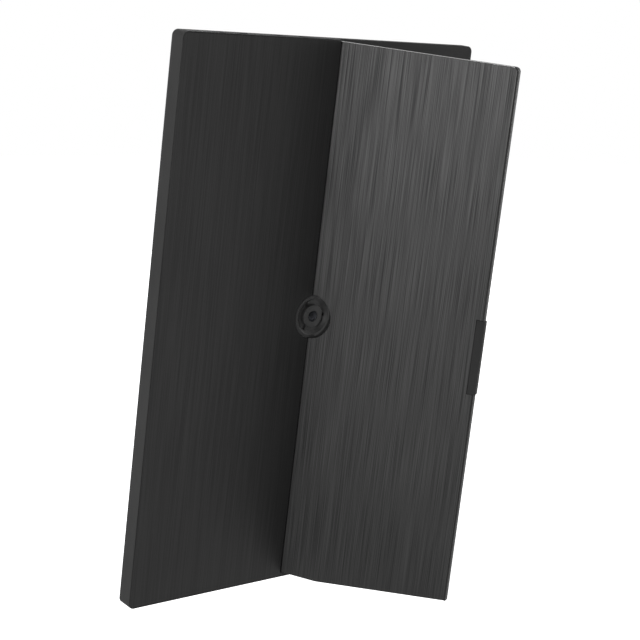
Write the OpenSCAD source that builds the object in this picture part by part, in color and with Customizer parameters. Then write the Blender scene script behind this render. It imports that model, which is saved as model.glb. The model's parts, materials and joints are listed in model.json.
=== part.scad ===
// Portable 15.6-inch USB monitor with a built-in stand flap, standing in portrait on its flap.
// Every piece is drawn with the body upright and the flap closed: X across the short side,
// Y through the thickness (the back is y = 0 and the screen side is negative), Z up the long side.
// stance() then leans the whole object back on its flap, as it stands on a table.

/* [Body] */
// Long side of the body
body_h = 360; // [345:1:420]
// Short side of the body
body_w = 238; // [225:1:280]
// Thickness of the closed monitor
body_t = 11.8; // [11.6:0.1:16]
// Radius of the body's four corners
corner_r = 4; // [2:0.5:8]
// Thickness of the moulded side walls
side_wall = 1.6; // [1.2:0.1:2.4]
// Thickness of the moulded back walls
back_wall = 1.2; // [0.9:0.1:1.6]
// Width of the housing rim left round the fixed back panel
rim_w = 0.45; // [0.4:0.05:2]
// Groove left between a brushed panel and the rim round it
panel_groove = 0.2; // [0.1:0.05:0.5]
// Spacing of the moulded stiffening ribs
rib_pitch = 36; // [24:1:60]
// Thickness of the moulded ribs
rib_w = 1; // [0.8:0.1:1.6]

/* [Screen] */
// Frame width beyond the lit area at each short end
frame_end = 7.9; // [6.5:0.1:14]
// Frame width beside the lit area, on the long side away from the flap
frame_top = 9; // [8.5:0.5:14]
// Frame width beside the lit area, on the long side under the flap
chin_w = 35.4; // [30:0.1:60]
// Thickness of the front frame
bezel_t = 1.2; // [0.8:0.1:1.8]
// Foam gasket between the front frame and the glass
gasket_t = 0.4; // [0.2:0.1:0.8]
// Thickness of the liquid-crystal glass
cell_t = 1.2; // [0.8:0.1:1.4]
// Thickness of the stacked diffuser films
film_t = 0.5; // [0.3:0.1:0.7]
// Thickness of the light guide
guide_t = 0.6; // [0.4:0.1:0.8]
// Thickness of the reflector sheet
reflector_t = 0.2; // [0.1:0.05:0.3]
// Thickness of the panel's pressed metal tray
tray_t = 0.4; // [0.3:0.1:0.5]
// Glass beyond the lit area on three sides
glass_edge = 3.2; // [2:0.1:3.2]
// Glass beyond the lit area on the flap side, where its driver flex leaves
glass_foot = 6.4; // [5:0.1:8]

/* [Flap] */
// Thickness of the stand flap
flap_t = 4.4; // [4.2:0.1:5]
// Thickness of the brushed skins
skin_t = 0.6; // [0.4:0.1:0.8]
// Space under the closed flap
flap_seat_gap = 0.35; // [0.3:0.05:0.5]
// Flap set back from the body's upper end
flap_top_gap = 1; // [0.5:0.1:4]
// Width of the frame's rim left beside the skin, along the flap's free edge
flap_rim_w = 0.8; // [0.4:0.1:1.1]
// Flap set back from the body's lower end, beside the hinge
flap_foot_gap = 3.1; // [2:0.1:6]
// Gap between the flap's lower end and the housing's lower rim
flap_end_gap = 0.4; // [0.3:0.05:1]
// Radius of the flap's upper free corner
flap_corner_r = 3; // [1:0.5:6]
// Wall and web thickness of the flap's moulded frame
flap_wall = 2.4; // [1.6:0.1:4]
// Thickness of the flap frame's inner face
flap_floor = 1.2; // [0.8:0.1:1.4]
// Where the fixed panel ends beside the hinge, from the body's centre line
crease_x = -0.2; // [-3:0.1:3]
// How far the flap stands open in the rest pose
rest_open = 62; // [45:1:70]
// How far the body leans back in the rest pose
lean = 8; // [5:0.1:11]

/* [Hinges] */
// Distance of each hinge's middle from the body's ends
hinge_inset = 50; // [36:1:90]
// Diameter of the steel hinge pins
pin_d = 1.5; // [1.2:0.1:1.6]
// Diameter of the hinge barrels
barrel_d = 2.6; // [2.4:0.1:2.8]
// Radial running clearance of a pin in the fixed barrel
pin_play = 0.04; // [0.02:0.01:0.08]
// Length of the barrel of a fixed leaf
fixed_barrel_l = 8; // [6:0.5:12]
// Length of each of the two barrels of a flap leaf
flap_barrel_l = 5; // [4:0.5:8]
// End play between neighbouring barrels
barrel_gap = 0.15; // [0.1:0.05:0.3]
// Thickness of the steel leaves
leaf_t = 0.8; // [0.6:0.1:0.9]
// Reach of the leaves away from the pin
leaf_reach = 17; // [14:0.5:22]
// Gap between the flap's round edge and the fixed panel
knuckle_gap = 0.3; // [0.3:0.05:0.6]

/* [Tripod socket] */
// Height of the socket's middle above the body's lower end
socket_z = 181; // [150:1:210]
// Diameter of the socket's moulded dish
socket_d = 28.2; // [26:0.1:34]
// Gap between the dish and the panels round it
socket_gap = 0.4; // [0.35:0.05:0.8]
// Diameter where the dish begins to slope down
dish_d = 24.6; // [23.5:0.1:25.8]
// Depth of the dish
dish_depth = 2.6; // [1.5:0.1:3]
// Diameter of the socket's middle boss
boss_d = 15; // [14:0.1:16.5]
// Outside diameter of the threaded steel insert
insert_d = 9.6; // [8.5:0.1:10.5]
// Bore of the insert's quarter-inch thread, at the tips of the thread
thread_bore_d = 5.2; // [4.9:0.05:5.4]

/* [Edge tab and feet] */
// Length of the rubber tab on the flap's free edge
tab_l = 48; // [30:1:70]
// Height of the tab's middle above the body's lower end
tab_z = 177; // [120:1:240]
// Width of the tab on the flap's face
tab_w = 4.8; // [3.5:0.1:8]
// How far the tab stands out of the flap's edge
tab_proud = 0.8; // [0.4:0.1:1.2]
// How far the tab stands out of the flap's face
tab_raise = 0.25; // [0.1:0.05:0.4]
// Length of the rubber feet on the long side under the flap
foot_l = 36; // [20:1:60]
// Width of the rubber feet
foot_w = 3.2; // [2:0.1:4]
// How far the feet stand out of the side wall
foot_proud = 0.5; // [0.3:0.1:1]

/* [Sockets and keys] */
// Distance of the nearer USB-C socket from the body's fixed long side
port_inset = 71; // [66:1:76]
// Spacing of the two USB-C sockets
port_pitch = 22; // [16:1:24]
// Width of a USB-C shell
port_w = 8.94; // [8.9:0.01:9]
// Height of a USB-C shell
port_h = 3.16; // [3.1:0.01:3.2]
// Length of a USB-C shell
port_l = 7.35; // [6.5:0.05:8]
// Distance of the power key from the body's fixed long side
key_inset = 28; // [26:1:30]
// Spacing from the menu key to the power key
key_pitch = 17; // [15:1:19]
// Spacing from the power key to the status light
light_pitch = 12; // [9:1:14]
// Width of a key
key_w = 9; // [6:0.5:11]
// Height of a key
key_h = 2.6; // [2:0.1:3]
// How far a key stands out of the end wall
key_proud = 0.6; // [0.6:0.1:1]
// How far a key travels
key_travel = 0.5; // [0.3:0.05:0.5]
// Gap round a key in its opening
key_gap = 0.3; // [0.3:0.05:0.5]
// Thickness of the circuit boards
pcb_t = 1; // [0.8:0.1:1.2]
// Length of the main board
board_l = 95; // [80:1:140]
// Main board on each side of the two sockets
board_side = 14; // [12:0.5:18]
// Length of the board behind the keys
key_board_l = 18; // [14:0.5:26]
// Length of the tinned can on the main board
shield_l = 40; // [20:1:50]
// Height of the tinned can
shield_h = 2.4; // [1.5:0.1:2.6]
// Width of the timing board
driver_w = 9; // [6:0.5:9]
// Length of the timing board
driver_l = 100; // [60:1:160]

/* [Hidden] */
$fn = 48;
eps = 0.01;
far = 1000;

// Levels through the thickness
half_w = body_w / 2;
bezel_y = -body_t + bezel_t;
cell_y = bezel_y + gasket_t;
film_y = cell_y + cell_t;
guide_y = film_y + film_t;
reflector_y = guide_y + guide_t;
tray_y = reflector_y + reflector_t;
tray_back = tray_y + tray_t;
recess_y = -(flap_t + flap_seat_gap);
recess_in = recess_y - back_wall;
panel_seat = -skin_t;
back_in = panel_seat - back_wall;

// Hinge axis: the flap's long edge is a half round about it
knuckle_r = flap_t / 2;
hinge_x = crease_x - knuckle_gap - knuckle_r;
hinge_y = -knuckle_r;
hinge_zs = [hinge_inset, body_h - hinge_inset];
flap_x0 = -half_w;
flap_z0 = flap_foot_gap;
flap_z1 = body_h - flap_top_gap;
notch_r = socket_d / 2 + socket_gap;
barrel_pair_z = fixed_barrel_l / 2 + barrel_gap;
pin_half = barrel_pair_z + flap_barrel_l;
pin_head_t = 0.5;
pin_head_r = 1.1;
press_gap = 0.01;
leaf_w = 18;
leaf_screw_x = 11;
leaf_screw_z = 6;
fixed_leaf_y = hinge_y - barrel_d / 2;
flap_leaf_y = panel_seat - leaf_t;
leaf_slot_gap = 0.2;
leaf_pad_x = crease_x + back_wall + 0.6;
leaf_pilot_y = fixed_leaf_y + leaf_t + 1.5;
station_gap = 0.35;

// Screen stack, seen along the thickness
lit_x1 = half_w - frame_top;
lit_x0 = -half_w + chin_w;
lit_z0 = frame_end;
lit_z1 = body_h - frame_end;
glass_x0 = lit_x0 - glass_foot;
glass_x1 = lit_x1 + glass_edge;
glass_z0 = lit_z0 - glass_edge;
glass_z1 = lit_z1 + glass_edge;
stack_gap = 0.3;
window_gap = 0.5;
lip_t = 0.8;
lip_gap = 0.1;
lip_h = 2;
led_count = 24;
led_w = 2;

// Main board, key board and their standoffs
board_gap = 0.9;
board_y = tray_back + board_gap;
board_top = board_y + pcb_t;
port_xs = [half_w - port_inset - port_pitch, half_w - port_inset];
board_x0 = port_xs[0] - board_side;
board_x1 = port_xs[1] + board_side;
board_edge = 3;
board_z1 = body_h - side_wall - board_edge;
board_z0 = board_z1 - board_l;
board_post_in = 4;
board_post_top = 8;
shield_side = 7;
shield_leaf_gap = 4.7;
shield_x0 = max(board_x0 + shield_side, hinge_x + leaf_reach + shield_leaf_gap);
shield_foot = 26;
shield_wall = 0.3;
chip_w = 6;
chip_pitch = 10;
chip_h = 1.4;
port_y = board_y + port_h / 2 + 0.2;
port_face = 0.3;
port_z0 = body_h - port_face - port_l;
port_gap = 0.25;
key_board_x0 = board_x1 + 2;
key_board_x1 = half_w - side_wall - 4;
switch_w = 4.6;
switch_l = 3.4;
switch_h = 1.7;
plunger_l = 0.9;
plunger_d = 1.2;
plunger_gap = key_travel + 0.05;
key_flange = 1;
key_flange_t = 0.8;
key_xs = [half_w - key_inset - key_pitch, half_w - key_inset];
switch_y = board_top + switch_h / 2;
key_in = body_h - side_wall - 0.05;
switch_z1 = body_h - side_wall - key_flange_t - 2.2;
key_board_z1 = switch_z1 - plunger_l - plunger_gap + 0.3;
key_board_z0 = key_board_z1 - key_board_l;
light_x = key_xs[1] + light_pitch;
light_d = 1.6;
standoff_d = 4.4;
pilot_d = 1.5;
board_posts = [
  for (x = [board_x0 + board_post_in, board_x1 - board_post_in],
    z = [board_z0 + board_post_in, board_z1 - board_post_top]) [x, z]
];
key_posts = [[key_board_x0 + 3.5, key_board_z0 + 4], [key_board_x1 - 3.5, key_board_z0 + 4]];
screw_d = 2;
screw_head_d = 3.8;
screw_head_h = 0.7;

// Screws down the wide side of the front frame, under the flap
bezel_screw_side = 9;
bezel_screw_end = 36;
bezel_screw_count = 4;
bezel_screw_pitch = (body_h - 2 * bezel_screw_end) / (bezel_screw_count - 1);
bezel_screw_x = -half_w + bezel_screw_side;
bezel_screw_zs = [for (i = [0:bezel_screw_count - 1]) bezel_screw_end + i * bezel_screw_pitch];
bezel_post_d = 5;

// Tripod socket
pad_r = socket_d / 2 + 4.4;
flange_r = socket_d / 2 + 3.6;
flange_t = 1.1;
seat_gap = 0.05;
insert_flange_r = insert_d / 2 + 1.3;
insert_flange_t = 0.9;
groove_d = 19.4;
insert_top = -0.6;
socket_screw_r = socket_d / 2 + 1.5;

// Rubber feet, and the dip that holds each one
foot_zs = [body_h * 0.15, body_h * 0.85];
foot_deep = 0.6;
foot_y = (bezel_y + recess_y) / 2;
// The standing object's middle, from the body's own centre line and edges
rest_far_y = hinge_y * cos(lean) + knuckle_r * cos(rest_open) * cos(lean)
  + (hinge_x - flap_x0 - flap_corner_r) * sin(rest_open) * cos(lean)
  + (flap_z1 - flap_corner_r) * sin(lean)
  + flap_corner_r * sqrt(pow(sin(rest_open) * cos(lean), 2) + pow(sin(lean), 2));
rest_near_y = -body_t * cos(lean);
mid_x = -foot_proud / 2;
mid_y = (rest_far_y + rest_near_y) / 2;

// A rectangle with four round corners
module round_rect(x0, z0, x1, z1, r) {
  translate([x0 + r, z0]) square([x1 - x0 - 2 * r, z1 - z0]);
  translate([x0, z0 + r]) square([x1 - x0, z1 - z0 - 2 * r]);
  for (x = [x0 + r, x1 - r], z = [z0 + r, z1 - r]) translate([x, z]) circle(r);
}

// Raises a flat outline, drawn as x and z, from depth y0 to y1
module slab(y0, y1) {
  translate([0, y1, 0]) rotate([90, 0, 0]) linear_extrude(y1 - y0) children();
}

// A block given by its lowest and highest corners
module block(a, b) {
  translate(a) cube(b - a);
}

// A disc or rod along Y
module rod_y(x, z, d, y0, y1) {
  translate([x, y1, z]) rotate([90, 0, 0]) cylinder(d = d, h = y1 - y0);
}

// A rod along Z
module rod_z(x, y, d, z0, z1) {
  translate([x, y, z0]) cylinder(d = d, h = z1 - z0);
}

// The outline of the body, inset by a distance
module body_outline(inset = 0) {
  r = max(corner_r - inset, 0.4);
  round_rect(-half_w + inset, inset, half_w - inset, body_h - inset, r);
}

// The part of an outline on the fixed side of the crease
module fixed_side(x = crease_x) {
  intersection() {
    children();
    translate([x, -far / 2]) square(far);
  }
}

// A pan-head screw along Y with its head outwards at y and its shank going inwards
module screw(x, z, y, shank, dir = 1) {
  difference() {
    union() {
      rod_y(x, z, screw_head_d, min(y, y + dir * screw_head_h), max(y, y + dir * screw_head_h));
      rod_y(x, z, screw_d - 0.5, min(y, y - dir * shank), max(y, y - dir * shank));
    }
    for (a = [0, 90]) translate([x, y + dir * screw_head_h, z]) rotate([0, a, 0])
      cube([1.9, 0.7, 0.5], center = true);
  }
}

// Leans the upright body back until it stands on its rear edge and the cut edge of the flap
module stance() {
  translate([-mid_x, -mid_y, 0]) rotate([-lean, 0, 0]) children();
}

// Turns a piece of the flap about the hinge axis
module turn_flap(angle) {
  translate([hinge_x, hinge_y, 0]) rotate([0, 0, -angle])
    translate([-hinge_x, -hinge_y, 0]) children();
}

// What lies under the table top, seen from the closed flap
module below_table(lift = 0) {
  turn_flap(-rest_open) rotate([lean, 0, 0])
    translate([-far / 2, -far / 2, lift - far]) cube(far);
}

module rear_housing() {
  color("#3a3b3d") stance() {
    difference() {
      union() {
        slab(bezel_y, recess_y) body_outline();
        slab(recess_y - eps, 0) fixed_side() body_outline();
      }
      housing_hollow();
      slab(panel_seat, 1) fixed_side(crease_x - 1) body_outline(rim_w);
      rod_y(hinge_x, socket_z, 2 * pad_r - 3, -body_t, 1);
      end_wall_openings();
      for (z = foot_zs) foot_shape(z, foot_deep, 1, -foot_gap);
      for (z = hinge_zs) block([leaf_pad_x, back_in - 1, z - leaf_w / 2],
        [hinge_x + leaf_reach, panel_seat - 0.3, z + leaf_w / 2]);
      for (z = bezel_screw_zs) {
        rod_y(bezel_screw_x, z, screw_head_d + 0.4, recess_y - screw_head_h, 1);
        rod_y(bezel_screw_x, z, screw_d + 0.3, -body_t, 1);
      }
      for (z = hinge_zs) leaf_slot(z);
    }
    housing_ribs();
    lower_rim();
    difference() {
      union() {
        socket_pad();
        leaf_pads();
      }
      for (z = hinge_zs, s = [-1, 1]) rod_y(hinge_x + leaf_screw_x, z + s * leaf_screw_z,
        pilot_d, fixed_leaf_y, leaf_pilot_y);
    }
    housing_posts();
  }
}

foot_gap = 0.05;
rib_start = 4;
rib_end_gap = 6;

// The full-depth rim that closes the flap's recess at the body's lower end
module lower_rim() {
  slab(recess_y - eps, 0) intersection() {
    body_outline();
    translate([-half_w, 0]) square([half_w + crease_x, flap_foot_gap - flap_end_gap]);
  }
}

// The space inside the housing on both sides of the step at the crease
module housing_hollow() {
  slab(bezel_y - 1, recess_in) body_outline(side_wall);
  slab(recess_in - eps, back_in) fixed_side(crease_x + back_wall) body_outline(side_wall);
}

// Openings in the upper end wall for the sockets, keys and status light
module end_wall_openings() {
  for (x = port_xs) translate([0, 0, body_h - side_wall - 1])
    pill(x, port_y, port_w + 2 * port_gap, port_h + 2 * port_gap, side_wall + 2);
  for (x = key_xs) translate([0, 0, body_h - side_wall - 1])
    pill(x, switch_y, key_w + 2 * key_gap, key_h + 2 * key_gap, side_wall + 2);
  rod_z(light_x, switch_y, light_d + 0.1, body_h - side_wall - 1, body_h + 1);
}

// A bar with round ends along X, rising along Z
module pill(x, y, w, h, l) {
  for (s = [-1, 1]) translate([x + s * (w - h) / 2, y, 0]) cylinder(d = h, h = l);
  translate([x - (w - h) / 2, y - h / 2, 0]) cube([w - h, h, l]);
}

// The slot in the step wall that a fixed hinge leaf passes through
module leaf_slot(z) {
  half = fixed_barrel_l / 2 + leaf_slot_gap;
  block([crease_x - 1, fixed_leaf_y - leaf_slot_gap, z - half],
    [crease_x + back_wall + 0.5, fixed_leaf_y + leaf_t + leaf_slot_gap, z + half]);
}

// Low ribs inside both back walls, kept clear of the socket and the hinge leaves
module housing_ribs() {
  deep = 1.5;
  shallow = min(0.9, recess_in - tray_back - 0.3);
  difference() {
    union() {
      for (x = [rib_pitch / 2 + rib_start:rib_pitch:half_w - side_wall - rib_end_gap])
        block([x, back_in - deep, side_wall - eps], [x + rib_w, back_in, body_h - side_wall + eps]);
      for (z = [rib_pitch / 2:rib_pitch:body_h - rib_pitch / 2 + eps])
        block([crease_x + back_wall - eps, back_in - deep, z],
          [half_w - side_wall + eps, back_in, z + rib_w]);
      for (x = [-half_w + rib_pitch / 2:rib_pitch:crease_x - rib_pitch / 4])
        block([x, recess_in - shallow, side_wall - eps], [x + rib_w, recess_in, body_h - side_wall]);
      for (z = [rib_pitch / 2:rib_pitch:body_h - rib_pitch / 2 + eps])
        block([-half_w + side_wall - eps, recess_in - shallow, z],
          [crease_x + back_wall - eps, recess_in, z + rib_w]);
    }
    rod_y(hinge_x, socket_z, 2 * pad_r - 0.6, -body_t, 1);
    for (z = hinge_zs) block([crease_x, -body_t, z - leaf_w / 2 - 1],
      [hinge_x + leaf_reach + 1, 0, z + leaf_w / 2 + 1]);
    for (z = bezel_screw_zs) rod_y(bezel_screw_x, z, bezel_post_d + 0.6, -body_t, 1);
    block([board_x0 - 1, -body_t, board_z0 - 1], [half_w, board_top + shield_h + 0.3, body_h]);
    block([key_board_x0 - 1, -body_t, key_board_z0 - 1],
      [half_w - side_wall, 0, body_h - side_wall]);
  }
}

// The thick ring of the housing that the tripod socket is fixed up against
module socket_pad() {
  difference() {
    union() {
      intersection() {
        rod_y(hinge_x, socket_z, 2 * pad_r, recess_in, recess_y);
        block([-half_w, -body_t, 0], [crease_x + back_wall, 0, body_h]);
      }
      intersection() {
        rod_y(hinge_x, socket_z, 2 * pad_r, recess_in, panel_seat);
        block([crease_x, -body_t, 0], [half_w, 0, body_h]);
      }
    }
    rod_y(hinge_x, socket_z, socket_d + 2 * seat_gap, -body_t, 1);
    for (a = [60, 180, 300]) socket_screw_place(a)
      rod_y(0, 0, pilot_d, recess_in - 1, recess_in + 0.9);
  }
}

module socket_screw_place(a) {
  translate([hinge_x + socket_screw_r * cos(a), 0, socket_z + socket_screw_r * sin(a)]) children();
}

// Solid pads that the fixed hinge leaves are screwed to
module leaf_pads() {
  for (z = hinge_zs) block([leaf_pad_x, fixed_leaf_y + leaf_t, z - leaf_w / 2],
    [hinge_x + leaf_reach, panel_seat - 0.3, z + leaf_w / 2]);
}

// Standoffs under the boards
module housing_posts() {
  for (p = concat(board_posts, key_posts)) difference() {
    rod_y(p[0], p[1], standoff_d, board_top, back_in + eps);
    rod_y(p[0], p[1], pilot_d, board_top - 1, back_in - 0.3);
  }
}

module front_bezel() {
  color("#26272a") stance() {
    difference() {
      slab(-body_t, bezel_y) body_outline();
      slab(-body_t - 1, bezel_y + 1)
        round_rect(lit_x0 - window_gap, lit_z0 - window_gap, lit_x1 + window_gap,
          lit_z1 + window_gap, 0.4);
    }
    difference() {
      slab(bezel_y - eps, bezel_y + lip_h) body_outline(side_wall + lip_gap);
      slab(bezel_y - 1, bezel_y + lip_h + 1) body_outline(side_wall + lip_gap + lip_t);
    }
    for (z = bezel_screw_zs) difference() {
      rod_y(bezel_screw_x, z, bezel_post_d, bezel_y - eps, recess_in);
      rod_y(bezel_screw_x, z, pilot_d, bezel_y + 0.6, recess_in + 1);
    }
  }
}

module back_panel() {
  color("#48494c") stance() difference() {
    slab(panel_seat, 0) fixed_side() body_outline(rim_w + panel_groove);
    rod_y(hinge_x, socket_z, 2 * notch_r, -body_t, 1);
  }
}

module panel_gasket() {
  color("#18181a") stance() difference() {
    slab(bezel_y, cell_y) round_rect(lit_x0 - 4, glass_z0 + 0.3, glass_x1 - 0.3, glass_z1 - 0.3, 0.5);
    slab(bezel_y - 1, cell_y + 1)
      round_rect(lit_x0 - 1, lit_z0 - 1, lit_x1 + 1, lit_z1 + 1, 0.5);
  }
}

module lcd_cell() {
  color("#101114") stance()
    block([glass_x0, cell_y, glass_z0], [glass_x1, film_y, glass_z1]);
}

// A sheet of the backlight, inside the tray's rim
module stack_sheet(y0, y1, foot = 0) {
  inset = tray_t + stack_gap;
  block([glass_x0 + inset + foot, y0, glass_z0 + inset], [glass_x1 - inset, y1, glass_z1 - inset]);
}

module diffuser_films() {
  color("#e8e8e4") stance() stack_sheet(film_y, guide_y);
}

module light_guide() {
  color("#dfe8ea") stance() stack_sheet(guide_y, reflector_y, led_w + stack_gap);
}

module reflector_sheet() {
  color("#f4f4f2") stance() stack_sheet(reflector_y, tray_y);
}

// The row of light-emitting diodes on a flexible strip, along the light guide's long edge
module led_bar() {
  strip_t = 0.2;
  inset = tray_t + stack_gap;
  x = glass_x0 + inset;
  pitch = (glass_z1 - glass_z0 - 2 * inset) / led_count;
  color("#d9c34a") stance() {
    block([x, reflector_y - strip_t, glass_z0 + inset],
      [x + led_w, reflector_y, glass_z1 - inset]);
    for (i = [0:led_count - 1])
      translate([x + 0.3, guide_y, glass_z0 + inset + (i + 0.5) * pitch - 1.5])
        cube([led_w - 0.3, guide_t - strip_t + eps, 3]);
  }
}

module lcd_tray() {
  color("#9fa3a6") stance() difference() {
    block([glass_x0, film_y, glass_z0], [glass_x1, tray_back, glass_z1]);
    block([glass_x0 + tray_t, film_y - 1, glass_z0 + tray_t],
      [glass_x1 - tray_t, tray_y, glass_z1 - tray_t]);
  }
}

driver_t = 0.8;
driver_z0 = body_h * 0.22;
cable_w = 11;

// Timing board beside the panel, lying on the wide side of the front frame
module driver_board() {
  x1 = glass_x0 - 0.5;
  x0 = x1 - driver_w;
  color("#1d4a35") stance() {
    block([x0, bezel_y, driver_z0], [x1, bezel_y + driver_t, driver_z0 + driver_l]);
    for (i = [1:3]) translate([x0 + driver_w * 0.22, bezel_y + driver_t - eps,
      driver_z0 + cable_w + i * (driver_l - cable_w) / 4 - chip_w / 2])
      cube([driver_w * 0.56, chip_h - 0.4, chip_w]);
  }
}

// Flat cable from the timing board, over the back of the tray, to the main board
module panel_cable() {
  t = 0.15;
  x0 = glass_x0 - driver_w / 2;
  x1 = glass_x0 - 0.45;
  y0 = bezel_y + driver_t;
  y1 = tray_back;
  x2 = (board_x0 + board_x1 + cable_w) / 2;
  z = driver_z0 + 1;
  color("#c9b98f") stance() {
    translate([0, 0, z]) linear_extrude(cable_w) polygon([
      [x0, y0], [x1 + t, y0], [x1 + t, y1], [x2, y1],
      [x2, y1 + t], [x1, y1 + t], [x1, y0 + t], [x0, y0 + t]
    ]);
    block([x2 - cable_w, y1, z], [x2, y1 + t, board_z0 + cable_w + 1]);
    block([x2 - cable_w, y1, board_z0 + 1], [x2, board_y, board_z0 + cable_w + 1]);
  }
}

module mainboard() {
  color("#1d4a35") stance() {
    difference() {
      block([board_x0, board_y, board_z0], [board_x1, board_top, board_z1]);
      for (x = port_xs) block([x - port_w / 2 - 0.1, board_y - 1, port_z0 - 0.1],
        [x + port_w / 2 + 0.1, board_top + 1, body_h]);
      for (p = board_posts) rod_y(p[0], p[1], screw_d, board_y - 1, board_top + 1);
    }
    for (x = [board_x0 + chip_w:chip_pitch:board_x1 - 2 * chip_w])
      translate([x, board_top - eps, board_z0 + 2 * chip_w]) cube([chip_w, chip_h + eps, chip_w]);
  }
}

module can_block(inset, y0) {
  z = board_z0 + shield_foot;
  block([shield_x0 + inset, y0, z + inset],
    [board_x1 - shield_side - inset, board_top + shield_h - inset, z + shield_l - inset]);
}

module shield_can() {
  color("#b7babd") stance() difference() {
    can_block(0, board_top);
    can_block(shield_wall, board_top - 1);
  }
}

// Two USB-C sockets: a rolled steel shell with a tongue inside, set into the board's edge
module usb_c_sockets() {
  wall = 0.3;
  color("#8e9295") stance() for (x = port_xs) {
    difference() {
      translate([0, 0, port_z0]) pill(x, port_y, port_w, port_h, port_l);
      translate([0, 0, port_z0 + 1])
        pill(x, port_y, port_w - 2 * wall, port_h - 2 * wall, port_l);
    }
    block([x - 3.3, port_y - 0.35, port_z0 + 0.5], [x + 3.3, port_y + 0.35, port_z0 + port_l - 1.6]);
    for (s = [-1, 1]) block([x + s * (port_w / 2 + 0.4) - 0.8, board_top, port_z0 + 0.6],
      [x + s * (port_w / 2 + 0.4) + 0.8, board_top + 0.3, port_z0 + 2.2]);
  }
}

module key_board() {
  color("#1d4a35") stance() difference() {
    block([key_board_x0, board_y, key_board_z0],
      [key_board_x1, board_top, key_board_z1]);
    for (p = key_posts) rod_y(p[0], p[1], screw_d, board_y - 1, board_top + 1);
  }
}

module tact_switches() {
  color("#2a2a2c") stance() for (x = key_xs) {
    block([x - switch_w / 2, board_top, switch_z1 - plunger_l - plunger_gap - switch_l],
      [x + switch_w / 2, board_top + switch_h, switch_z1 - plunger_l - plunger_gap]);
    rod_z(x, switch_y, plunger_d, switch_z1 - plunger_l - plunger_gap - eps,
      switch_z1 - plunger_gap);
  }
}

module status_light() {
  color("#e9ecef") stance() {
    rod_z(light_x, switch_y, light_d, body_h - side_wall - 0.6, body_h);
    rod_z(light_x, switch_y, light_d + 1, body_h - side_wall - 0.6, body_h - side_wall);
    block([light_x - 0.7, board_top, switch_z1 - 3],
      [light_x + 0.7, switch_y + 0.5, body_h - side_wall - 0.5]);
  }
}

module board_screws() {
  color("#7d8083") stance() for (p = concat(board_posts, key_posts))
    screw(p[0], p[1], board_y, pcb_t + 1.6, -1);
}

module bezel_screws() {
  color("#2c2d2f") stance() for (z = bezel_screw_zs)
    screw(bezel_screw_x, z, recess_y - screw_head_h, back_wall + 3.2 - screw_head_h);
}

// Dished plastic socket round the tripod thread, with three keyways beside its boss
module socket_dish() {
  top = -0.1;
  low = recess_in - flange_t;
  lip = insert_d / 2 + seat_gap;
  mouth = thread_bore_d / 2 + 1.1;
  profile = [
    [lip, low + insert_flange_t + seat_gap], [lip, insert_top], [mouth, insert_top], [mouth, -0.15],
    [mouth + 0.15, 0], [boss_d / 2 - 0.3, 0], [boss_d / 2, -0.3],
    [boss_d / 2, -dish_depth], [groove_d / 2, -dish_depth], [dish_d / 2, top - 0.1],
    [dish_d / 2 + 0.15, top], [socket_d / 2, top], [socket_d / 2, recess_in],
    [flange_r, recess_in], [flange_r, low],
    [insert_flange_r + seat_gap, low], [insert_flange_r + seat_gap, low + insert_flange_t + seat_gap]
  ];
  color("#2b2c2e") stance() difference() {
    translate([hinge_x, 0, socket_z]) rotate([-90, 0, 0]) rotate_extrude($fn = 96)
      polygon(profile);
    for (a = [60, 180, 300]) {
      translate([hinge_x, 0, socket_z]) rotate([0, -a, 0])
        block([boss_d / 2 - 0.4, -dish_depth - 1, -1.1], [groove_d / 2 + 0.6, -dish_depth + 0.9, 1.1]);
      socket_screw_place(a) {
        rod_y(0, 0, screw_d, low - 1, recess_in + 0.4);
        rod_y(0, 0, screw_head_d + 0.2, low - 1, low + screw_head_h);
      }
    }
  }
}

// Threaded steel insert, blackened, pulled up against the socket by its own flange
module tripod_insert() {
  low = recess_in - flange_t;
  color("#2c2d2f") stance() difference() {
    union() {
      rod_y(hinge_x, socket_z, 2 * insert_flange_r, low, low + insert_flange_t + seat_gap);
      rod_y(hinge_x, socket_z, insert_d, low, insert_top);
    }
    rod_y(hinge_x, socket_z, thread_bore_d, low - 1, 1);
  }
}

module socket_screws() {
  low = recess_in - flange_t;
  color("#7d8083") stance() for (a = [60, 180, 300]) socket_screw_place(a) {
    rod_y(0, 0, screw_head_d, low, low + screw_head_h);
    rod_y(0, 0, pilot_d, low, recess_in + 0.8);
  }
}

// Leaves screwed inside the housing, each with one barrel reaching out into the crease
module fixed_leaves() {
  color("#8a8d90") stance() for (z = hinge_zs) difference() {
    union() {
      rod_z(hinge_x, hinge_y, barrel_d, z - fixed_barrel_l / 2, z + fixed_barrel_l / 2);
      block([hinge_x, fixed_leaf_y, z - fixed_barrel_l / 2],
        [hinge_x + leaf_reach, fixed_leaf_y + leaf_t, z + fixed_barrel_l / 2]);
      block([leaf_pad_x, fixed_leaf_y, z - leaf_w / 2],
        [hinge_x + leaf_reach, fixed_leaf_y + leaf_t, z + leaf_w / 2]);
    }
    rod_z(hinge_x, hinge_y, pin_d + 2 * pin_play, z - fixed_barrel_l, z + fixed_barrel_l);
    for (s = [-1, 1]) rod_y(hinge_x + leaf_screw_x, z + s * leaf_screw_z, screw_d, -body_t, 1);
  }
}

module leaf_screws() {
  color("#7d8083") stance() for (z = hinge_zs, s = [-1, 1])
    screw(hinge_x + leaf_screw_x, z + s * leaf_screw_z, fixed_leaf_y, leaf_t + 1.4, -1);
}

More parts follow.
